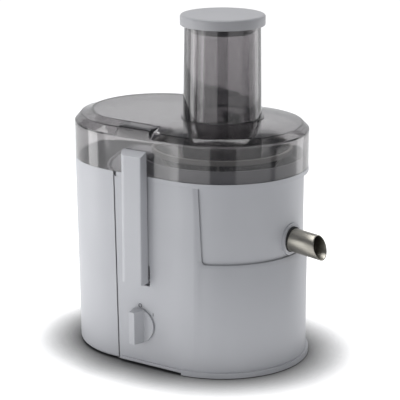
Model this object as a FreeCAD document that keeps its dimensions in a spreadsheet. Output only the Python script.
"""Centrifugal juicer: a parametric FreeCAD model, one object per physical piece.

The frame: +Z up, z = 0 on the counter, +X towards the juice spout, the switch side on -Y.
The origin is the middle of the footprint. The spinner axis stands spinner_x in front of it.
Bodies are drawn about their own axis and placed on it, so most sketches are centred.
"""
import FreeCAD, Part
import Sketcher
import math
import os

doc = FreeCAD.newDocument("juicer")

# ---------------------------------------------------------------- driving dimensions (mm, degrees)
DIMENSIONS = {
    # plan and overall heights
    "spinner_x": 25.2, "end_radius": 99.0, "rear_offset": 87.0, "wall": 3.0, "gap": 0.4,
    "split_low": 123.7, "split_high": 126.8, "split_top": 226.0,
    # base and motor housing
    "base_underside": 0.8, "band_top": 6.7, "band_proud": 3.0, "plate_top": 4.5,
    "housing_radius": 98.4, "housing_top": 218.8, "deck_under": 126.0, "deck_top": 129.0,
    "deck_fit": 0.15,
    "opening_low": 131.7, "opening_edge": 32.9, "opening_lean": 5.0, "opening_corner": 5.0,
    "foot_radius": 9.0, "post_radius": 5.5, "screw_radius": 1.8,
    "turret_radius": 27.0, "turret_top": 148.0,
    # motor, all about the spinner axis
    "shaft_radius": 5.0, "shaft_low": 13.0, "shaft_top": 183.0, "running_fit": 0.04,
    "stack_low": 48.0, "stack_top": 86.0, "bolt_circle": 42.0, "bolt_radius": 1.6,
    "stator_radius": 44.0, "stator_bore": 27.4,
    "yoke_bore": 40.2, "armature_radius": 26.8, "leg_circle": 41.0, "leg_radius": 3.0,
    "lower_plate": 12.0, "upper_plate": 110.0, "plate_thick": 3.0,
    "upper_race": 16.0, "lower_race": 11.0, "commutator_radius": 11.0,
    "fan_low": 98.0, "fan_radius": 34.0, "mount_circle": 38.0, "mount_radius": 7.0,
    "coupling_low": 151.0, "coupling_top": 178.0, "coupling_core": 17.0, "coupling_tip": 20.0,
    "spline_gap": 0.5,
    # juice bowl and spout
    "bowl_radius": 93.6, "bowl_wall": 2.6, "bowl_floor": 129.6, "bowl_edge": 1.5,
    "rim_top": 224.6, "rim_setback": 1.8,
    "collar_radius": 95.0, "collar_top": 238.5, "well_radius": 36.0, "well_top": 185.0,
    "spout_height": 149.9, "spout_tilt": 6.3, "spout_radius": 13.4, "spout_bore": 12.4,
    "spout_reach": 37.7, "spout_cut": 24.4,
    # spinner
    "disc_radius": 47.0, "disc_low": 203.0, "disc_thick": 1.2, "basket_low": 204.4,
    "basket_top": 243.0, "screen_low": 48.4, "screen_high": 77.0, "screen_thick": 0.8,
    "basket_rim": 80.0, "basket_rim_top": 246.5, "hub_radius": 29.0, "hub_low": 154.0,
    "rivet_circle": 38.0, "rivet_radius": 2.2,
    # lid, chute and pusher
    "lid_foot": 225.0, "lid_shoulder": 267.0, "lid_brim": 274.8, "lid_crown": 279.0,
    "lid_wall": 2.6, "bevel_run": 7.2, "crown_radius": 79.0,
    "chute_low": 214.0, "chute_top": 384.0, "chute_base": 44.6, "chute_mouth": 43.2,
    "chute_bore": 40.8, "chute_ring": 47.5,
    "pusher_low": 258.0, "cap_low": 384.4, "cap_top": 396.2, "cap_radius": 48.0,
    # pulp bin
    "bin_low": 2.4, "bin_top": 224.6, "bin_foot_offset": 83.5, "bin_foot_radius": 98.6,
    "bin_radius": 98.9, "bin_round": 3.0, "bin_wall": 2.4, "bin_gap": 1.2,
    # clamps
    "clamp_x": -48.7, "clamp_width": 30.6, "clamp_round": 9.0, "clamp_low": 101.0,
    "clamp_high": 253.2,
    "clamp_brow": 248.8, "clamp_face": 112.4, "clamp_back": 99.0, "clamp_tip_back": 101.0,
    "pivot_height": 104.5, "pivot_side": 96.0, "pin_radius": 2.0, "pocket_low": 96.9,
    "pocket_high": 121.0, "pocket_depth": 10.0, "hook_low": 239.0, "hook_high": 243.0,
    # switch
    "knob_x": -45.5, "knob_height": 49.3, "knob_radius": 19.7, "knob_disc": 2.4,
    "grip_front": 115.3, "grip_root": 14.0, "grip_tip": 7.2, "grip_length": 43.0,
    "spindle_radius": 3.0,
    # cord gland
    "gland_x": -58.0, "gland_height": 24.0, "gland_radius": 5.5, "cord_bore": 3.6,
}


class Size:
    """A number that remembers the spreadsheet formula it came from."""

    def __init__(self, value, text):
        self.value = value
        self.text = text

    def _with(self, other, symbol, result):
        return Size(result, "(%s %s %s)" % (self.text, symbol, formula(other)))

    def __add__(self, other):
        return self._with(other, "+", self.value + number(other))

    def __sub__(self, other):
        return self._with(other, "-", self.value - number(other))

    def __mul__(self, other):
        return self._with(other, "*", self.value * number(other))

    def __truediv__(self, other):
        return self._with(other, "/", self.value / number(other))

    def __neg__(self):
        return Size(-self.value, "(0 - %s)" % self.text)


def number(size):
    return size.value if isinstance(size, Size) else float(size)


def formula(size):
    return size.text if isinstance(size, Size) else repr(float(size))


sheet = doc.addObject("Spreadsheet::Sheet", "sizes")


class Sizes:
    """The spreadsheet's aliases as attributes."""


size = Sizes()
for row, (alias, value) in enumerate(DIMENSIONS.items(), start=1):
    sheet.set("A%d" % row, alias)
    sheet.set("B%d" % row, str(value))
    sheet.setAlias("B%d" % row, alias)
    setattr(size, alias, Size(value, "sizes." + alias))
doc.recompute()

ZERO = Size(0.0, "0")
NODES = []


# ---------------------------------------------------------------- helpers
def bind(thing, prop, value):
    """Set a property from a size, through an expression, so that it follows the sheet."""
    thing.setExpression(prop, formula(value))


def place(thing, x=0.0, y=0.0, z=0.0):
    """Stand a piece on the spinner axis, moved by x, y and z."""
    bind(thing, "Placement.Base.x", size.spinner_x + x)
    bind(thing, "Placement.Base.y", y)
    bind(thing, "Placement.Base.z", z)
    return thing


def node(thing, name):
    """Mark an object as one of the finished pieces."""
    thing.Label = name
    NODES.append(thing)
    return thing


def tool(kind, label):
    return doc.addObject(kind, label)


def cylinder(label, radius, low, high, x=0.0, y=0.0):
    thing = tool("Part::Cylinder", label)
    bind(thing, "Radius", radius)
    bind(thing, "Height", high - low if isinstance(high, Size) else Size(high, repr(high)) - low)
    return place(thing, x, y, low)


def box(label, low, high):
    """A box between two corners, each (x, y, z) from the spinner axis."""
    thing = tool("Part::Box", label)
    for prop, a, b in zip(("Length", "Width", "Height"), low, high):
        bind(thing, prop, Size(number(b), formula(b)) - a)
    return place(thing, *low)


def cylinder_along(label, direction, radius, length, x, y, z):
    """A cylinder whose axis points along 'x', 'y' or '-y' from the given point."""
    thing = tool("Part::Cylinder", label)
    bind(thing, "Radius", radius)
    bind(thing, "Height", length)
    turn = {"x": (0, 1, 0, 90), "y": (1, 0, 0, -90), "-y": (1, 0, 0, 90)}[direction]
    thing.Placement.Rotation = FreeCAD.Rotation(FreeCAD.Vector(*turn[:3]), turn[3])
    return place(thing, x, y, z)


def cone(label, low_radius, high_radius, low, high):
    thing = tool("Part::Cone", label)
    bind(thing, "Radius1", low_radius)
    bind(thing, "Radius2", high_radius)
    bind(thing, "Height", high - low)
    return place(thing, 0.0, 0.0, low)


def fuse(label, *shapes):
    thing = tool("Part::MultiFuse", label)
    thing.Shapes = list(shapes)
    thing.Refine = True
    return thing


def group(label, *shapes):
    """Separate solids of one kind, such as a set of screws."""
    thing = tool("Part::Compound", label)
    thing.Links = list(shapes)
    return thing


def common(label, first, second):
    thing = tool("Part::Common", label)
    thing.Base = first
    thing.Tool = second
    return thing


def cut(label, base, *tools):
    """The base less its tools."""
    thing = tool("Part::Cut", label)
    thing.Base = base
    thing.Tool = tools[0] if len(tools) == 1 else fuse(label + "_tools", *tools)
    return thing


def new_body(label):
    body = tool("PartDesign::Body", label)
    return place(body)


def origin_plane(body, role):
    return next(f for f in body.Origin.OriginFeatures if f.Role == role)


def new_sketch(body, role, label, offset=0.0):
    sketch = body.newObject("Sketcher::SketchObject", label)
    sketch.AttachmentSupport = [(origin_plane(body, role), "")]
    sketch.MapMode = "FlatFace"
    bind(sketch, "AttachmentOffset.Base.z", offset)
    return sketch


def outline(sketch, points):
    """A closed outline of straight lines, every corner held by its two sizes."""
    corners = [FreeCAD.Vector(number(x), number(y), 0) for x, y in points]
    count = len(corners)
    first = sketch.GeometryCount
    for i in range(count):
        sketch.addGeometry(Part.LineSegment(corners[i], corners[(i + 1) % count]))
    for i in range(count):
        sketch.addConstraint(
            Sketcher.Constraint("Coincident", first + i, 2, first + (i + 1) % count, 1))
    for i, (x, y) in enumerate(points):
        for kind, value in (("DistanceX", x), ("DistanceY", y)):
            index = sketch.addConstraint(
                Sketcher.Constraint(kind, -1, 1, first + i, 1, number(value)))
            if isinstance(value, Size):
                sketch.setExpression("Constraints[%d]" % index, value.text)
    return sketch


def circle(sketch, radius, x=0.0, y=0.0):
    index = sketch.addGeometry(
        Part.Circle(FreeCAD.Vector(number(x), number(y), 0), FreeCAD.Vector(0, 0, 1),
                    number(radius)))
    rules = [("Radius", (index,), radius), ("DistanceX", (-1, 1, index, 3), x),
             ("DistanceY", (-1, 1, index, 3), y)]
    for kind, where, value in rules:
        rule = sketch.addConstraint(Sketcher.Constraint(kind, *where, number(value)))
        if isinstance(value, Size):
            sketch.setExpression("Constraints[%d]" % rule, value.text)
    return sketch


def stadium(body, label, radius, offset, height):
    """The plan outline: a half circle about the spinner axis and one about the bin's centre."""
    sketch = new_sketch(body, "XY_Plane", label, height)
    r, d = number(radius), number(offset)
    up = FreeCAD.Vector(0, 0, 1)
    half = math.pi / 2
    sketch.addGeometry(Part.ArcOfCircle(Part.Circle(FreeCAD.Vector(0, 0, 0), up, r), -half, half))
    sketch.addGeometry(Part.LineSegment(FreeCAD.Vector(0, r, 0), FreeCAD.Vector(-d, r, 0)))
    sketch.addGeometry(
        Part.ArcOfCircle(Part.Circle(FreeCAD.Vector(-d, 0, 0), up, r), half, 3 * half))
    sketch.addGeometry(Part.LineSegment(FreeCAD.Vector(-d, -r, 0), FreeCAD.Vector(0, -r, 0)))
    for one, end, other, start in ((0, 2, 1, 1), (1, 2, 2, 1), (2, 2, 3, 1), (3, 2, 0, 1)):
        sketch.addConstraint(Sketcher.Constraint("Tangent", one, end, other, start))
    sketch.addConstraint(Sketcher.Constraint("Coincident", 0, 3, -1, 1))
    sketch.addConstraint(Sketcher.Constraint("PointOnObject", 2, 3, -1))
    rules = [("Radius", (0,), radius), ("DistanceX", (2, 3, -1, 1), offset)]
    for kind, where, value in rules:
        rule = sketch.addConstraint(Sketcher.Constraint(kind, *where, number(value)))
        if isinstance(value, Size):
            sketch.setExpression("Constraints[%d]" % rule, value.text)
    return sketch


def feature(body, kind, label, profile):
    thing = body.newObject("PartDesign::" + kind, label)
    thing.Profile = profile
    return thing


def pad(body, sketch, length, both_ways=False):
    thing = feature(body, "Pad", sketch.Label + "_pad", sketch)
    bind(thing, "Length", length)
    if both_ways:
        thing.Midplane = True
    sketch.Visibility = False
    return thing


def loft(body, label, first, *others):
    thing = feature(body, "AdditiveLoft", label, first)
    thing.Sections = list(others)
    thing.Ruled = True
    return thing


def repeat(body, label, features, count):
    """A polar pattern of features about the body's own Z axis."""
    thing = body.newObject("PartDesign::PolarPattern", label)
    thing.Originals = features
    thing.Axis = (next(f for f in body.Origin.OriginFeatures if f.Role == "Z_Axis"), [""])
    thing.Angle = 360
    thing.Occurrences = count
    body.Tip = thing
    return thing


def round_edges(body, label, radius, wanted):
    """Fillet the edges of the body's last feature whose middle point is wanted."""
    doc.recompute()
    base = body.Tip
    names = ["Edge%d" % i for i, edge in enumerate(base.Shape.Edges, start=1)
             if wanted(edge.valueAt((edge.FirstParameter + edge.LastParameter) / 2), edge)]
    fillet = body.newObject("PartDesign::Fillet", label)
    fillet.Base = (base, names)
    bind(fillet, "Radius", radius)
    return fillet


def turned(label, points):
    """A solid of revolution about the spinner axis from outlines of (radius, height)."""
    body = new_body(label)
    sketch = new_sketch(body, "XZ_Plane", label + "_profile")
    outline(sketch, points)
    spin = feature(body, "Revolution", label + "_spin", sketch)
    spin.ReferenceAxis = (sketch, ["V_Axis"])
    spin.Angle = 360
    return body


def prism(label, radius, offset, low, high):
    """The plan outline, drawn up from one height to another."""
    body = new_body(label)
    pad(body, stadium(body, label + "_plan", radius, offset, low), high - low)
    return body


def side_bar(label, points, width, x):
    """An outline in the (y, z) plane, drawn along X to a width centred on x."""
    body = new_body(label)
    sketch = new_sketch(body, "YZ_Plane", label + "_side")
    outline(sketch, points)
    pad(body, sketch, width, both_ways=True)
    return place(body, x)


def around(circle_radius, start, count=4):
    """Places spaced evenly on a circle about the spinner axis."""
    for i in range(count):
        angle = math.radians(start + 360.0 * i / count)
        yield i, circle_radius * math.cos(angle), circle_radius * math.sin(angle)


def mirror_y(points, side):
    return [(y * side, z) for y, z in points]


SIDES = (("near", -1.0), ("far", 1.0))
s = size

# ---------------------------------------------------------------- motor housing
# Three mouldings: the outer band, the curved back that faces the pulp bin, and the deck inside.
SCREW_POSTS = [(55.0, -62.0), (55.0, 62.0), (-75.5, -80.0), (-75.5, 80.0)]


def split_cone(label, inset):
    """The curved back of the housing, a cone about the spinner axis, made smaller by an inset."""
    return cone(label, s.split_low - inset, s.split_high - inset, ZERO, s.split_top)


housing_outer = common("housing_outer",
                       prism("housing_plan", s.housing_radius, s.rear_offset, s.band_top,
                             s.housing_top),
                       split_cone("housing_back_face", ZERO))
housing_room = prism("housing_room", s.housing_radius - s.wall, s.rear_offset, s.band_top - 1,
                     s.housing_top + 1)
back_slab = common("back_slab",
                   prism("back_plan", s.housing_radius - s.wall, s.rear_offset, s.band_top,
                         s.housing_top),
                   split_cone("back_outer_face", ZERO))
node(cut("back_cut", back_slab, split_cone("back_inner_face", s.wall)), "housing_back")

front_opening = new_body("front_opening")
opening_sketch = outline(new_sketch(front_opening, "XZ_Plane", "opening_side"),
                         [(s.opening_edge, s.opening_low), (s.end_radius + 10, s.opening_low),
                          (s.end_radius + 10, s.housing_top + 10),
                          (s.opening_edge - s.opening_lean, s.housing_top + 10)])
pad(front_opening, opening_sketch, s.end_radius * 2 + 20, both_ways=True)
round_edges(front_opening, "opening_corner", s.opening_corner,
            lambda middle, edge: abs(middle.y) < 1 and middle.x < number(s.opening_edge) + 1
            and middle.z < number(s.opening_low) + 1)

turret = turned("turret", [(s.shaft_radius + 4, s.turret_top), (s.turret_radius, s.turret_top),
                           (s.turret_radius, s.deck_under), (s.turret_radius - 3, s.deck_under),
                           (s.turret_radius - 3, s.turret_top - 5),
                           (s.shaft_radius + 4, s.turret_top - 5)])
turret_hole = cylinder("turret_hole", s.turret_radius - 1, s.deck_under - 1, s.deck_top + 1)
posts = [cylinder("post_%d" % i, s.post_radius, s.plate_top, s.deck_under, x, y)
         for i, (x, y) in enumerate(SCREW_POSTS)]
post_holes = [cylinder("post_hole_%d" % i, s.screw_radius, s.plate_top - 1, s.plate_top + 16, x, y)
              for i, (x, y) in enumerate(SCREW_POSTS)]
mount_holes = [cylinder("mount_hole_%d" % i, 2.0, s.deck_under - 1, s.deck_top + 1, x, y)
               for i, x, y in around(number(s.mount_circle), 45)]
mount_seats = [cylinder("mount_seat_%d" % i, 4.3, s.deck_top - 1.6, s.deck_top + 1, x, y)
               for i, x, y in around(number(s.mount_circle), 45)]

pocket_blocks, pockets, pin_holes = [], [], []
half_pocket = s.clamp_width / 2 + 1.5
for side_name, side in SIDES:
    block = [(s.pivot_side - s.pocket_depth - 3, s.pocket_low - 3),
             (s.housing_radius - 1, s.pocket_low - 3), (s.housing_radius - 1, s.pocket_high + 3),
             (s.pivot_side - s.pocket_depth - 3, s.pocket_high + 3)]
    pocket = [(s.pivot_side - s.pocket_depth, s.pocket_low), (s.housing_radius + 2, s.pocket_low),
              (s.housing_radius + 2, s.pocket_high),
              (s.pivot_side - s.pocket_depth, s.pocket_high)]
    pocket_blocks.append(side_bar("pocket_block_" + side_name, mirror_y(block, side),
                                  half_pocket * 2 + 7, s.clamp_x))
    pockets.append(side_bar("pocket_" + side_name, mirror_y(pocket, side), half_pocket * 2,
                            s.clamp_x))
    pin_holes.append(cylinder_along("pin_hole_" + side_name, "x", s.pin_radius,
                                    half_pocket * 2 + 7, s.clamp_x - half_pocket - 3.5,
                                    s.pivot_side * side, s.pivot_height))
spindle_hole = cylinder_along("spindle_hole", "y", s.spindle_radius + s.gap, s.wall + 4,
                              s.knob_x, -(s.housing_radius + 1), s.knob_height)
gland_hole = cylinder_along("gland_hole", "-y", s.gland_radius, s.wall + 4, s.gland_x,
                            s.housing_radius + 1, s.gland_height)

deck_plate = common("deck_plate",
                    prism("deck_plan", s.housing_radius - s.wall - s.deck_fit, s.rear_offset,
                          s.deck_under, s.deck_top),
                    split_cone("deck_back", s.wall + s.deck_fit))
node(cut("deck_cut", fuse("deck_solid", cut("holed_deck", deck_plate, turret_hole), turret, *posts),
         *post_holes, *mount_holes, *mount_seats), "motor_deck")
frame = fuse("housing_frame", cut("housing_band", housing_outer, housing_room), *pocket_blocks)
node(cut("housing_cut", frame, front_opening, *pockets, *pin_holes, spindle_hole, gland_hole),
     "motor_housing")

# ---------------------------------------------------------------- base
FEET = [(66.0, -48.0), (66.0, 48.0), (-88.0, -72.0), (-88.0, 72.0)]

base_plan = common("base_plan",
                   prism("base_outline", s.housing_radius + s.band_proud, s.rear_offset,
                         s.base_underside, s.band_top),
                   split_cone("base_back", ZERO))
base_room = common("base_room",
                   prism("base_room_plan", s.housing_radius - s.wall, s.rear_offset, s.plate_top,
                         s.band_top + 1),
                   split_cone("base_room_back", s.wall))
tongue = box("bin_tongue", (-152.0, -45.0, s.base_underside), (-118.0, 45.0, s.bin_low - s.gap))
foot_seats = [cylinder("foot_seat_%d" % i, s.foot_radius, s.base_underside - 1,
                       s.base_underside + 1.5, x, y) for i, (x, y) in enumerate(FEET)]
head_seats = [cylinder("head_seat_%d" % i, 3.8, s.base_underside - 1, s.base_underside + 2, x, y)
              for i, (x, y) in enumerate(SCREW_POSTS)]
plate_holes = [cylinder("plate_hole_%d" % i, s.screw_radius, s.base_underside, s.plate_top + 1,
                        x, y) for i, (x, y) in enumerate(SCREW_POSTS)]
vents = [box("vent_%d" % i, (-24.0 + 8.0 * i, -30.0, s.base_underside - 1),
             (-20.0 + 8.0 * i, 30.0, s.plate_top + 1)) for i in range(7)]
arches = [box("finger_arch_" + name, (-78.0, 95.6 if side > 0 else -102.0, s.base_underside - 1),
              (12.0, 102.0 if side > 0 else -95.6, s.base_underside + 3.4))
          for name, side in SIDES]
base_cover = node(cut("base_cut", fuse("base_solid", cut("base_tray", base_plan, base_room),
                                       tongue),
                      *foot_seats, *head_seats, *plate_holes, *vents, *arches), "base_cover")
node(group("feet", *[cylinder("foot_%d" % i, s.foot_radius, ZERO,
                              s.base_underside + 1.5, x, y) for i, (x, y) in enumerate(FEET)]),
     "rubber_feet")


def screw(label, head_radius, head_low, head_high, shank_radius, shank_end, x, y):
    """A pan-head screw standing along Z, the shank running from the head to shank_end."""
    upward = number(shank_end) > number(head_high)
    low, high = (head_high, shank_end) if upward else (shank_end, head_low)
    return fuse(label, cylinder(label + "_head", head_radius, head_low, head_high, x, y),
                cylinder(label + "_shank", shank_radius, low, high, x, y))


node(group("base_screw_set",
           *[screw("base_screw_%d" % i, 3.8, s.base_underside + 0.2, s.base_underside + 2,
                   s.screw_radius, s.plate_top + 14, x, y)
             for i, (x, y) in enumerate(SCREW_POSTS)]), "base_screws")

# ---------------------------------------------------------------- motor, fixed parts
node(turned("seal", [(s.shaft_radius + s.running_fit, s.turret_top),
                     (s.shaft_radius + 4, s.turret_top),
                     (s.shaft_radius + 4, s.turret_top - 5),
                     (s.shaft_radius + s.running_fit, s.turret_top - 5)]), "shaft_seal")


def ring(label, inner, outer, low, high):
    return turned(label, [(inner, low), (outer, low), (outer, high), (inner, high)])


yoke = ring("yoke", s.yoke_bore, s.stator_radius, s.stack_low, s.stack_top)
pole_disc = ring("pole_disc", s.stator_bore, s.yoke_bore, s.stack_low, s.stack_top)
coil_gap = box("coil_gap", (-60.0, -22.0, s.stack_low - 30), (60.0, 22.0, s.stack_top + 30))
screw_holes = [cylinder("stack_hole_%d" % i, s.bolt_radius, s.stack_low - 1, s.stack_top + 1, x, y)
               for i, x, y in around(number(s.bolt_circle), 45)]
node(cut("stator_cut", fuse("stator_solid", yoke, cut("poles", pole_disc, coil_gap)),
         *screw_holes), "motor_stator")
coil_box = box("coil_box", (-60.0, -21.0, s.stack_low - 10), (60.0, 21.0, s.stack_top + 8))
node(common("coil_pair", ring("coil_ring", s.stator_bore + 2, s.yoke_bore, s.stack_low - 10,
                              s.stack_top + 8), coil_box), "field_coils")


def bracket(label, plate_low, plate_radius, seat_low, seat_top, race, leg_low, leg_top, hole):
    """A bearing bracket: a plate, a boss with the bearing seat, and four legs to the stack."""
    plate_high = plate_low + s.plate_thick
    plate = cylinder(label + "_plate", plate_radius, plate_low, plate_high)
    boss = cylinder(label + "_boss", race + 3, plate_low, seat_top)
    legs = [cylinder(label + "_leg_%d" % i, s.leg_radius, leg_low, leg_top, x, y)
            for i, x, y in around(number(s.leg_circle), 45)]
    seat = cylinder(label + "_seat", race, seat_low, seat_top + 1)
    bore = cylinder(label + "_bore", hole, plate_low - 1, seat_top + 1)
    bolt_holes = [cylinder(label + "_hole_%d" % i, s.bolt_radius, leg_low - 5, leg_top + 5, x, y)
                  for i, x, y in around(number(s.bolt_circle), 45)]
    windows = [cylinder(label + "_window_%d" % i, 6.0, plate_low - 1, plate_high + 1, x, y)
               for i, x, y in around(29.0, 0)]
    return cut(label, fuse(label + "_solid", plate, boss, *legs), seat, bore, *bolt_holes,
               *windows)


lower_seat = s.lower_plate + 2
upper_seat = s.upper_plate + 2
node(bracket("lower_bracket_cut", s.lower_plate, s.stator_radius + 1, lower_seat, lower_seat + 7,
             s.lower_race, s.lower_plate + 1, s.stack_low, s.shaft_radius + 2), "lower_bracket")
node(bracket("upper_bracket_cut", s.upper_plate, s.stator_radius + 1, upper_seat,
             upper_seat + 10, s.upper_race, s.stack_top, s.upper_plate + 1, s.shaft_radius + 2),
     "upper_bracket")
for label, race, low, width in (("lower_bearing", s.lower_race, lower_seat, 7),
                                ("upper_bearing", s.upper_race, upper_seat, 10)):
    shoulder = (race - s.shaft_radius) * 0.3
    node(turned(label + "_body",
                [(s.shaft_radius + s.running_fit, low), (s.shaft_radius + shoulder, low),
                 (s.shaft_radius + shoulder, low + 0.8), (race - shoulder, low + 0.8),
                 (race - shoulder, low), (race, low), (race, low + width),
                 (race - shoulder, low + width), (race - shoulder, low + width - 0.8),
                 (s.shaft_radius + shoulder, low + width - 0.8),
                 (s.shaft_radius + shoulder, low + width),
                 (s.shaft_radius + s.running_fit, low + width)]), label)

node(group("motor_screw_set",
           *[screw("motor_screw_%d" % i, 3.0, s.lower_plate - 2, s.lower_plate, s.bolt_radius,
                   s.upper_plate + 2, x, y)
             for i, x, y in around(number(s.bolt_circle), 45)]), "motor_screws")
holders, brushes = [], []
for name, side in SIDES:
    near_x, far_x = (16.5, 34.0) if side > 0 else (-34.0, -16.5)
    holder = box("holder_" + name, (near_x, -6.0, s.lower_plate + 3), (far_x, 6.0, 36.5))
    brush_low, brush_high = (11.4, 26.0) if side > 0 else (-26.0, -11.4)
    channel = box("channel_" + name, (near_x - 1, -3.8, 26.5), (far_x + 1, 3.8, 33.5))
    holders.append(cut("holder_cut_" + name, holder, channel))
    brushes.append(box("brush_" + name, (brush_low, -3.8, 26.5), (brush_high, 3.8, 33.5)))
node(group("holder_pair", *holders), "brush_holders")
node(group("brush_pair", *brushes), "carbon_brushes")
node(group("mount_set",
           *[cut("mount_%d" % i,
                 cylinder("mount_body_%d" % i, s.mount_radius, s.upper_plate + 3, s.deck_under,
                          x, y),
                 cylinder("mount_bore_%d" % i, 2.0, s.upper_plate, s.deck_top, x, y))
             for i, x, y in around(number(s.mount_circle), 45)]), "motor_mounts")
node(group("mount_screw_set",
           *[screw("mount_screw_%d" % i, 4.0, s.deck_top - 1.6, s.deck_top + 0.2, 2.0,
                   s.upper_plate + 5, x, y)
             for i, x, y in around(number(s.mount_circle), 45)]), "mount_screws")

# ---------------------------------------------------------------- switch, wiring parts, gland
switch_box = box("switch_box", (-58.0, -90.4, 34.0), (-30.0, -62.0, 64.0))
switch_neck = cylinder_along("switch_neck", "y", 7.0, 5.4, s.knob_x, -95.4, s.knob_height)
node(cut("switch_cut", fuse("switch_solid", switch_box, switch_neck),
         cylinder_along("neck_bore", "y", s.spindle_radius + s.running_fit, 28.0, s.knob_x,
                        -96.0, s.knob_height)), "rotary_switch")
node(box("breaker", (-58.0, -89.0, 64.0), (-30.0, -66.0, 82.0)), "circuit_breaker")
node(cylinder_along("capacitor", "x", 9.0, 30.0, -100.0, -40.0, s.plate_top + 9),
     "suppression_capacitor")
block = box("block_body", (-78.0, 62.0, s.plate_top), (-48.0, 74.0, s.plate_top + 12))
terminals = [cylinder("terminal_%d" % i, 2.5, s.plate_top + 6, s.plate_top + 13,
                      -72.0 + 9.0 * i, 68.0) for i in range(3)]
node(cut("block_cut", block, *terminals), "terminal_block")
node(box("interlock", (-58.0, -(s.pivot_side - s.pocket_depth - 3), 104.0),
         (-38.0, -72.0, 116.0)), "interlock_switch")
gland_outer = cylinder_along("gland_tube", "-y", s.gland_radius, 16.0, s.gland_x,
                             s.housing_radius + 1, s.gland_height)
gland_flange = cylinder_along("gland_flange", "y", s.gland_radius + 3, 2.5, s.gland_x,
                              s.housing_radius, s.gland_height)
gland_bore = cylinder_along("gland_bore", "-y", s.cord_bore, 30.0, s.gland_x,
                            s.housing_radius + 8, s.gland_height)
node(cut("gland_cut", fuse("gland_solid", gland_outer, gland_flange), gland_bore), "cord_gland")


def lead(points, radius):
    """One insulated wire: straight runs joined by tangent arcs, swept with a round section."""
    corners = [FreeCAD.Vector(*p) for p in points]
    edges, start = [], corners[0]
    for before, corner, after in zip(corners, corners[1:], corners[2:]):
        inward, outward = (corner - before), (after - corner)
        turn = inward.getAngle(outward)
        setback = 0.45 * min(inward.Length, outward.Length)
        inward.normalize()
        outward.normalize()
        enter, leave = corner - inward * setback, corner + outward * setback
        bisector = (outward - inward).normalize()
        bend = setback / math.tan(turn / 2)
        middle = corner + bisector * (math.hypot(bend, setback) - bend)
        edges.append(Part.LineSegment(start, enter).toShape())
        edges.append(Part.Arc(enter, middle, leave).toShape())
        start = leave
    edges.append(Part.LineSegment(start, corners[-1]).toShape())
    path = Part.Wire(edges)
    section = Part.Wire([Part.Circle(corners[0], corners[1] - corners[0], radius).toShape()])
    return path.makePipeShell([section], True, False)


LEAD_ROUTES = [
    [(-60, 81, 24), (-61, 74, 23), (-63, 68, 20.5), (-63, 68, 16.5)],
    [(-54, 62, 10), (-54, 54, 12), (-56, 20, 24), (-56, -30, 27), (-50, -52, 29),
     (-48, -70, 30), (-48, -74, 32.8)],
    [(-36, -61.3, 44), (-38, -55, 42), (-50, -42, 38), (-54, -18, 32), (-44, -3, 30), (-34, 0, 30)],
    [(-69.2, -40, 13.5), (-64, -42, 15), (-60, -54, 24), (-52, -66, 29), (-50, -70, 32.8)],
]
wiring = tool("Part::Feature", "leads")
wiring.Shape = Part.Compound([lead(route, 1.3) for route in LEAD_ROUTES])
node(place(wiring), "wiring")

mark_face = -(s.housing_radius + 0.3)
o_ring = cut("mark_o",
             cylinder_along("mark_o_disc", "y", 2.3, 0.3, s.knob_x, mark_face,
                            s.knob_height + 22.8),
             cylinder_along("mark_o_hole", "y", 1.6, 2.0, s.knob_x, mark_face - 1,
                            s.knob_height + 22.8))
i_bar = box("mark_i", (s.knob_x + 17.5, mark_face, s.knob_height + 13.2),
            (s.knob_x + 18.3, -s.housing_radius, s.knob_height + 16.8))
node(group("marks", o_ring, i_bar), "dial_marks")

# ---------------------------------------------------------------- rotor
node(cylinder("shaft", s.shaft_radius, s.shaft_low, s.shaft_top), "motor_shaft")
core_body = ring("core", s.shaft_radius, s.armature_radius, s.stack_low, s.stack_top)
slot_sketch = outline(new_sketch(core_body, "XY_Plane", "slot_plan", s.stack_top),
                      [(16.0, -1.6), (24.0, -1.6), (30.0, -0.8), (30.0, 0.8), (24.0, 1.6),
                       (16.0, 1.6)])
slot = feature(core_body, "Pocket", "slot", slot_sketch)
slot.Type = 1
repeat(core_body, "slots", [slot], 12)
node(core_body, "armature_core")
node(group("winding_pair",
           turned("winding_low", [(s.shaft_radius, s.stack_low - 9),
                                  (s.armature_radius - 10, s.stack_low - 9),
                                  (s.armature_radius - 4, s.stack_low - 5),
                                  (s.armature_radius - 4, s.stack_low),
                                  (s.shaft_radius, s.stack_low)]),
           turned("winding_top", [(s.shaft_radius, s.stack_top),
                                  (s.armature_radius - 4, s.stack_top),
                                  (s.armature_radius - 4, s.stack_top + 5),
                                  (s.armature_radius - 10, s.stack_top + 9),
                                  (s.shaft_radius, s.stack_top + 9)])), "armature_windings")
comm = ring("comm", s.shaft_radius, s.commutator_radius, s.stack_low - 24, s.stack_low - 9)
groove = outline(new_sketch(comm, "XY_Plane", "groove_plan", s.stack_low - 9),
                 [(9.8, -0.25), (12.0, -0.25), (12.0, 0.25), (9.8, 0.25)])
groove_cut = feature(comm, "Pocket", "groove", groove)
groove_cut.Type = 1
repeat(comm, "grooves", [groove_cut], 24)
node(comm, "commutator")
fan = ring("fan", s.shaft_radius, s.fan_radius, s.fan_low, s.fan_low + 1.5)
fan_hub = circle(circle(new_sketch(fan, "XY_Plane", "fan_hub", s.fan_low + 1.5),
                        s.shaft_radius + 4), s.shaft_radius)
pad(fan, fan_hub, 8.5)
blade = pad(fan, outline(new_sketch(fan, "XY_Plane", "fan_blade", s.fan_low + 1.5),
                         [(8.0, -0.9), (s.fan_radius - 0.5, 5.0), (s.fan_radius - 0.5, 6.8),
                          (8.0, 0.9)]), 8.5)
repeat(fan, "blades", [blade], 10)
node(fan, "cooling_fan")


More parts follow.
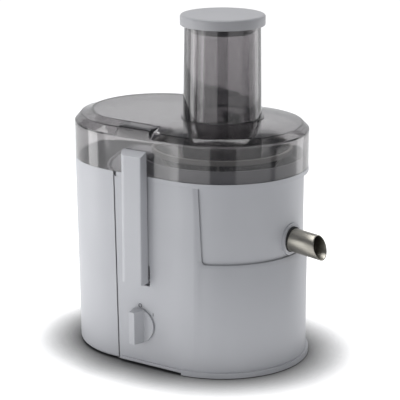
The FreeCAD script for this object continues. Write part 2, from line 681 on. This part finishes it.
def splined(label, inner, core, tip, half_tooth, low, high):
    """A ring with six straight splines; as a cutter it takes out the matching socket."""
    body = ring(label, inner, core, low, high)
    tooth = outline(new_sketch(body, "XY_Plane", label + "_tooth", low),
                    [(core - 2, -half_tooth), (tip, -half_tooth), (tip, half_tooth),
                     (core - 2, half_tooth)])
    repeat(body, label + "_teeth", [pad(body, tooth, high - low)], 6)
    return body


HALF_TOOTH = Size(2.5, "2.5")
node(splined("coupling", s.shaft_radius, s.coupling_core, s.coupling_tip, HALF_TOOTH,
             s.coupling_low, s.coupling_top), "drive_coupling")
nut_body = new_body("nut")
nut_plan = outline(new_sketch(nut_body, "XY_Plane", "nut_plan", s.coupling_top),
                   [(9.0 * math.cos(math.radians(60 * i)), 9.0 * math.sin(math.radians(60 * i)))
                    for i in range(6)])
circle(nut_plan, s.shaft_radius)
pad(nut_body, nut_plan, s.shaft_top - s.coupling_top - 0.5)
node(nut_body, "coupling_nut")

# ---------------------------------------------------------------- juice bowl and spout
bowl_cup = turned("bowl_cup", [
    (s.well_radius - s.bowl_wall, s.bowl_floor), (s.bowl_radius - s.bowl_edge, s.bowl_floor),
    (s.bowl_radius, s.bowl_floor + s.bowl_edge), (s.bowl_radius, s.collar_top - 18),
    (s.collar_radius, s.collar_top - 16), (s.collar_radius, s.collar_top),
    (s.collar_radius - 2.4, s.collar_top), (s.collar_radius - 2.4, s.collar_top - 15),
    (s.bowl_radius - s.bowl_wall, s.collar_top - 17),
    (s.bowl_radius - s.bowl_wall, s.bowl_floor + 5),
    (s.bowl_radius - s.bowl_wall - 2.5, s.bowl_floor + s.bowl_wall),
    (s.well_radius, s.bowl_floor + s.bowl_wall), (s.well_radius, s.well_top),
    (s.well_radius - s.bowl_wall, s.well_top)])
rim_plate = common("rim_plate",
                   prism("rim_plan", s.end_radius, s.rear_offset, s.housing_top + 0.3, s.rim_top),
                   split_cone("rim_back", s.rim_setback))
rim_hole = cylinder("rim_hole", s.bowl_radius - 1, s.housing_top - 5, s.rim_top + 5)
collar_gate = box("collar_gate", (-110.0, -72.0, s.rim_top), (-58.0, 72.0, s.collar_top + 1))
spout_boss = cylinder_along("spout_boss", "x", 18.5, 12.0, s.bowl_radius - 10.8, 0.0,
                            s.spout_height)


def along_spout(label, radius, start, length):
    """A cylinder on the spout's axis, from a distance along it."""
    thing = tool("Part::Cylinder", label)
    bind(thing, "Radius", radius)
    bind(thing, "Height", length)
    tilt = math.radians(number(s.spout_tilt))
    thing.Placement.Rotation = FreeCAD.Rotation(FreeCAD.Vector(0, 1, 0),
                                                90 + number(s.spout_tilt))
    return place(thing, s.bowl_radius + start * math.cos(tilt), 0.0,
                 s.spout_height - start * math.sin(tilt))


boss_ring = cut("boss_ring", spout_boss,
                cylinder("boss_core", s.bowl_radius - s.bowl_wall, s.bowl_floor,
                         s.spout_height + 40),
                cylinder("boss_trim", s.end_radius, s.bowl_floor - 10, s.bowl_floor))
node(cut("bowl_cut", fuse("bowl_solid", bowl_cup, cut("rim_ring", rim_plate, rim_hole), boss_ring),
         collar_gate, along_spout("spout_port", s.spout_radius + 1.2, -20.0, 40.0)), "juice_bowl")

END_BLOCK = 60.0
spout_end = tool("Part::Box", "spout_end_cutter")
for prop in ("Length", "Width", "Height"):
    bind(spout_end, prop, END_BLOCK)
lean = math.radians(number(s.spout_tilt))
reach = number(s.spout_reach)
spout_end.Placement.Rotation = FreeCAD.Rotation(
    FreeCAD.Vector(0, 1, 0), number(s.spout_tilt) - number(s.spout_cut))
corner = spout_end.Placement.Rotation.multVec(FreeCAD.Vector(0, -END_BLOCK / 2, -END_BLOCK / 2))
place(spout_end, s.bowl_radius + reach * math.cos(lean) + corner.x, corner.y,
      s.spout_height - reach * math.sin(lean) + corner.z)
node(cut("spout_cut_off", along_spout("spout_outer", s.spout_radius, -4.0, 60.0),
         along_spout("spout_inner", s.spout_bore, -5.0, 70.0), spout_end), "spout_tube")
node(cut("seal_cut", along_spout("spout_seal_ring", s.spout_radius + 1.2, -3.4, 6.0),
         along_spout("spout_seal_bore", s.spout_radius, -6.0, 20.0)), "spout_seal")

# ---------------------------------------------------------------- spinner
socket = splined("socket", s.shaft_radius - 3, s.coupling_core + s.spline_gap,
                 s.coupling_tip + s.spline_gap, HALF_TOOTH + s.spline_gap, s.hub_low - 1,
                 s.shaft_top + 3)
socket_core = cylinder("socket_core", s.shaft_radius, s.hub_low - 1, s.shaft_top + 3)
hub = turned("hub", [(0.0, s.hub_low), (s.hub_radius, s.hub_low),
                     (s.hub_radius, s.disc_low - 6), (s.screen_low, s.disc_low - 4),
                     (s.screen_low, s.disc_low), (0.0, s.disc_low)])
node(cut("hub_cut", hub, socket, socket_core), "spinner_hub")
disc_top = s.disc_low + s.disc_thick
node(turned("disc", [(0.0, s.disc_low), (s.disc_radius, s.disc_low), (s.disc_radius, disc_top),
                     (12.0, disc_top), (4.0, disc_top + 3), (0.0, disc_top + 3)]), "grater_disc")
node(turned("screen", [(s.screen_low, s.basket_low), (s.screen_low + s.screen_thick, s.basket_low),
                       (s.screen_high + s.screen_thick, s.basket_top),
                       (s.screen_high, s.basket_top)]), "filter_screen")
rim_ring_points = [(s.screen_high + s.screen_thick, s.basket_top - 2),
                   (s.basket_rim, s.basket_top - 2), (s.basket_rim, s.basket_rim_top),
                   (s.screen_high, s.basket_rim_top), (s.screen_high, s.basket_top),
                   (s.screen_high + s.screen_thick, s.basket_top)]
foot_ring_points = [(s.screen_low, s.disc_low - 4), (s.screen_low + 5, s.disc_low - 4),
                    (s.screen_low + 5, s.basket_low + 2), (s.screen_low + 2.6, s.basket_low + 2),
                    (s.screen_low + s.screen_thick + 0.1, s.basket_low),
                    (s.screen_low, s.basket_low)]
basket_ribs = turned("basket_rib_cone", [
    (s.screen_low + s.screen_thick + 1.9, s.basket_low + 1),
    (s.screen_low + s.screen_thick + 4, s.basket_low + 1),
    (s.screen_high + s.screen_thick + 2, s.basket_top - 1),
    (s.screen_high + s.screen_thick + 0.1, s.basket_top - 1)])
spokes = fuse("rib_bars", *[
    box("rib_bar_%d" % i, (-90.0, -1.5, s.basket_low), (90.0, 1.5, s.basket_top))
    for i in range(3)])
for i in range(3):
    bar = doc.getObject("rib_bar_%d" % i)
    angle = math.radians(60.0 * i)
    bar.Placement.Rotation = FreeCAD.Rotation(FreeCAD.Vector(0, 0, 1), 60.0 * i)
    place(bar, -90.0 * math.cos(angle) + 1.5 * math.sin(angle),
          -90.0 * math.sin(angle) - 1.5 * math.cos(angle), s.basket_low)
node(fuse("basket_solid", turned("rim_band", rim_ring_points),
          turned("foot_band", foot_ring_points), common("ribs", basket_ribs, spokes)),
     "basket_frame")
node(group("rivet_set", *[cylinder("rivet_%d" % i, s.rivet_radius, disc_top, disc_top + 0.9, x, y)
                          for i, x, y in around(number(s.rivet_circle), 0, 6)]), "disc_rivets")

# ---------------------------------------------------------------- lid, feed chute and pusher


def lid_shape(label, inset, foot):
    """The lid's solid form, made smaller on every side by an inset."""
    body = new_body(label)
    radius = s.end_radius - inset
    pad(body, stadium(body, label + "_foot", radius, s.rear_offset, foot), s.lid_shoulder - foot)
    shoulder = stadium(body, label + "_shoulder", radius, s.rear_offset, s.lid_shoulder)
    brim = stadium(body, label + "_brim", radius - s.bevel_run, s.rear_offset,
                   s.lid_brim - inset)
    loft(body, label + "_bevel", shoulder, brim)
    brim_again = stadium(body, label + "_brim_again", radius - s.bevel_run, s.rear_offset,
                         s.lid_brim - inset)
    crown = stadium(body, label + "_crown", s.crown_radius - inset, s.rear_offset,
                    s.lid_crown - inset)
    loft(body, label + "_rise", brim_again, crown)
    return body


PAD_X = -54.0
PAD_WIDTH = 46.0
pads, hook_slots = [], []
for side_name, side in SIDES:
    wedge = [(s.crown_radius - 3, s.lid_crown - 5), (s.crown_radius - 3, s.lid_crown),
             (s.crown_radius, s.lid_crown), (s.end_radius - 3, s.lid_brim - 1),
             (s.end_radius, s.lid_shoulder + 3), (s.end_radius, s.lid_shoulder - 8),
             (s.end_radius - 2, s.lid_shoulder - 8)]
    pads.append(side_bar("clamp_pad_" + side_name, mirror_y(wedge, side), PAD_WIDTH, PAD_X))
    slot_outline = [(s.end_radius - 1.7, s.hook_low - 1), (s.end_radius + 1, s.hook_low - 1),
                    (s.end_radius + 1, s.hook_high + 1.2), (s.end_radius - 1.7, s.hook_high + 1.2)]
    hook_slots.append(side_bar("hook_slot_" + side_name, mirror_y(slot_outline, side),
                               s.clamp_width - 4, s.clamp_x))
chute_hole = cylinder("chute_hole", s.chute_base, s.lid_shoulder, s.lid_crown + 1)
lid_cavity = lid_shape("lid_cavity", s.lid_wall, s.lid_foot - 1)
lid_shell = cut("lid_shell", fuse("lid_solid", lid_shape("lid_outer", ZERO, s.lid_foot),
                                  *pads), lid_cavity)
node(cut("lid_cut", lid_shell, chute_hole, *hook_slots), "lid")

node(turned("chute", [
    (s.chute_bore, s.chute_low), (s.chute_base - 1, s.chute_low), (s.chute_base, s.chute_low + 2),
    (s.chute_base, s.lid_crown), (s.chute_ring, s.lid_crown), (s.chute_ring, s.lid_crown + 1.4),
    (s.chute_base, s.lid_crown + 1.9), (s.chute_mouth, s.chute_top),
    (s.chute_bore, s.chute_top)]), "feed_chute")
pusher_radius = s.chute_bore - 0.6
node(turned("pusher", [
    (0.0, s.pusher_low), (pusher_radius - 9, s.pusher_low), (pusher_radius - 3, s.pusher_low + 3),
    (pusher_radius, s.pusher_low + 9), (pusher_radius, s.cap_low),
    (pusher_radius - 2, s.cap_low), (pusher_radius - 2, s.pusher_low + 9.6),
    (pusher_radius - 4.4, s.pusher_low + 4.6), (pusher_radius - 9.6, s.pusher_low + 2),
    (0.0, s.pusher_low + 2)]), "pusher_body")
cap_body = turned("cap", [
    (0.0, s.cap_low - 8), (pusher_radius - 4, s.cap_low - 8), (pusher_radius - 2, s.cap_low - 6),
    (pusher_radius - 2, s.cap_low), (s.cap_radius - 1, s.cap_low),
    (s.cap_radius, s.cap_low + 1), (s.cap_radius, s.cap_top - 2.4),
    (s.cap_radius - 0.8, s.cap_top - 0.8), (s.cap_radius - 2.4, s.cap_top), (0.0, s.cap_top)])
node(cap_body, "pusher_cap")

# ---------------------------------------------------------------- pulp bin


def bin_shape(label, inset, low, high):
    """The bin's tapered form with a rounded foot, before its front is cut to the housing's back."""
    body = new_body(label)
    rounding = s.bin_round - inset
    sections = []
    for step, angle in enumerate((0, 30, 60, 90)):
        turn = math.radians(angle)
        sections.append(stadium(
            body, label + "_foot_%d" % step,
            s.bin_foot_radius - inset - rounding * (1 - math.sin(turn)),
            s.bin_foot_offset, rounding * (1 - math.cos(turn)) + low))
    sections.append(stadium(body, label + "_top", s.bin_radius - inset, s.rear_offset, high))
    loft(body, label + "_wall", *sections)
    return body


bin_outer = cut("bin_outer", bin_shape("bin_form", ZERO, s.bin_low, s.bin_top),
                split_cone("bin_front", -s.bin_gap))
bin_hollow = cut("bin_hollow",
                 bin_shape("bin_inside", s.bin_wall, s.bin_low + s.bin_wall, s.bin_top + 1),
                 split_cone("bin_front_inside", -(s.bin_gap + s.bin_wall)))
node(cut("bin_cut", bin_outer, bin_hollow), "pulp_bin")

# ---------------------------------------------------------------- clamps
for side_name, side in SIDES:
    arm = side_bar("arm_" + side_name, mirror_y(
        [(s.clamp_back, s.clamp_low), (s.clamp_face, s.clamp_low), (s.clamp_face, s.clamp_brow),
         (s.clamp_tip_back, s.clamp_high), (s.clamp_back, s.clamp_low + 22)], side),
        s.clamp_width, s.clamp_x)
    for edge_name, radius, end in (("rear", s.clamp_round, -1), ("front", s.clamp_round / 6, 1)):
        round_edges(arm, "arm_%s_%s" % (edge_name, side_name), radius,
                    lambda middle, edge: abs(abs(middle.y) - number(s.clamp_face)) < 0.01
                    and abs(middle.x - end * number(s.clamp_width) / 2) < 0.01)
    lug_half = s.clamp_width / 2 - 2
    lug_bar = side_bar("lug_bar_" + side_name, mirror_y(
        [(s.pivot_side, s.pivot_height - 3.4), (s.clamp_back + 1, s.pivot_height - 3.4),
         (s.clamp_back + 1, s.pivot_height + 4.6), (s.pivot_side, s.pivot_height + 4.6)], side),
        lug_half * 2, s.clamp_x)
    lug_eye = cylinder_along("lug_eye_" + side_name, "x", 4.6, lug_half * 2,
                             s.clamp_x - lug_half, s.pivot_side * side, s.pivot_height)
    lug_bore = cylinder_along("lug_bore_" + side_name, "x", s.pin_radius + s.running_fit,
                              s.clamp_width + 4, s.clamp_x - s.clamp_width / 2 - 2,
                              s.pivot_side * side, s.pivot_height)
    node(cut("clamp_cut_" + side_name, fuse("clamp_solid_" + side_name, arm, lug_bar, lug_eye),
             lug_bore), "clamp_" + side_name)
    node(side_bar("hook_" + side_name, mirror_y(
        [(s.end_radius + s.gap, s.hook_low), (s.clamp_tip_back - 0.26, s.hook_low - 1.4),
         (s.clamp_tip_back - 0.17, s.hook_high), (s.end_radius + s.gap, s.hook_high)], side),
        s.clamp_width - 8, s.clamp_x), "clamp_hook_" + side_name)
node(group("pin_pair",
           *[cylinder_along("pin_" + name, "x", s.pin_radius, half_pocket * 2 + 7,
                            s.clamp_x - half_pocket - 3.5, s.pivot_side * side, s.pivot_height)
             for name, side in SIDES]), "clamp_pins")

# ---------------------------------------------------------------- switch knob
knob = new_body("knob")
disc_sketch = circle(new_sketch(knob, "XZ_Plane", "knob_face"), s.knob_radius)
pad(knob, disc_sketch, s.knob_disc)


def grip_rectangle(label, width, length, offset):
    half_w, half_l = width / 2, length / 2
    return outline(new_sketch(knob, "XZ_Plane", label, offset),
                   [(-half_w, -half_l), (half_w, -half_l), (half_w, half_l), (-half_w, half_l)])


grip_proud = s.grip_front - s.housing_radius - s.gap
loft(knob, "grip", grip_rectangle("grip_root", s.grip_root, s.grip_length - 3, s.knob_disc),
     grip_rectangle("grip_tip", s.grip_tip, s.grip_length - 5, grip_proud))
place(knob, s.knob_x, -(s.housing_radius + s.gap), s.knob_height)
node(knob, "switch_knob")
node(cylinder_along("spindle", "y", s.spindle_radius, 27.0, s.knob_x,
                    -(s.housing_radius + s.gap), s.knob_height), "switch_spindle")

# ---------------------------------------------------------------- check and write
doc.recompute()
for thing in doc.Objects:
    if {"Invalid", "Error"} & set(thing.State):
        raise RuntimeError("%s failed: %s" % (thing.Name, thing.State))
for piece in NODES:
    if piece.Shape.isNull() or not piece.Shape.isValid() or not piece.Shape.Solids:
        raise RuntimeError("%s has no sound shape" % piece.Label)
os.makedirs("parts", exist_ok=True)
for piece in NODES:
    piece.Shape.exportStep(os.path.join("parts", piece.Label + ".step"))
    bounds = piece.Shape.BoundBox
    print("%-22s %2d solids %9.0f mm3  x %7.1f %7.1f  y %7.1f %7.1f  z %6.1f %6.1f" % (
        piece.Label, len(piece.Shape.Solids), piece.Shape.Volume, bounds.XMin, bounds.XMax,
        bounds.YMin, bounds.YMax, bounds.ZMin, bounds.ZMax))
print(len(NODES), "pieces")
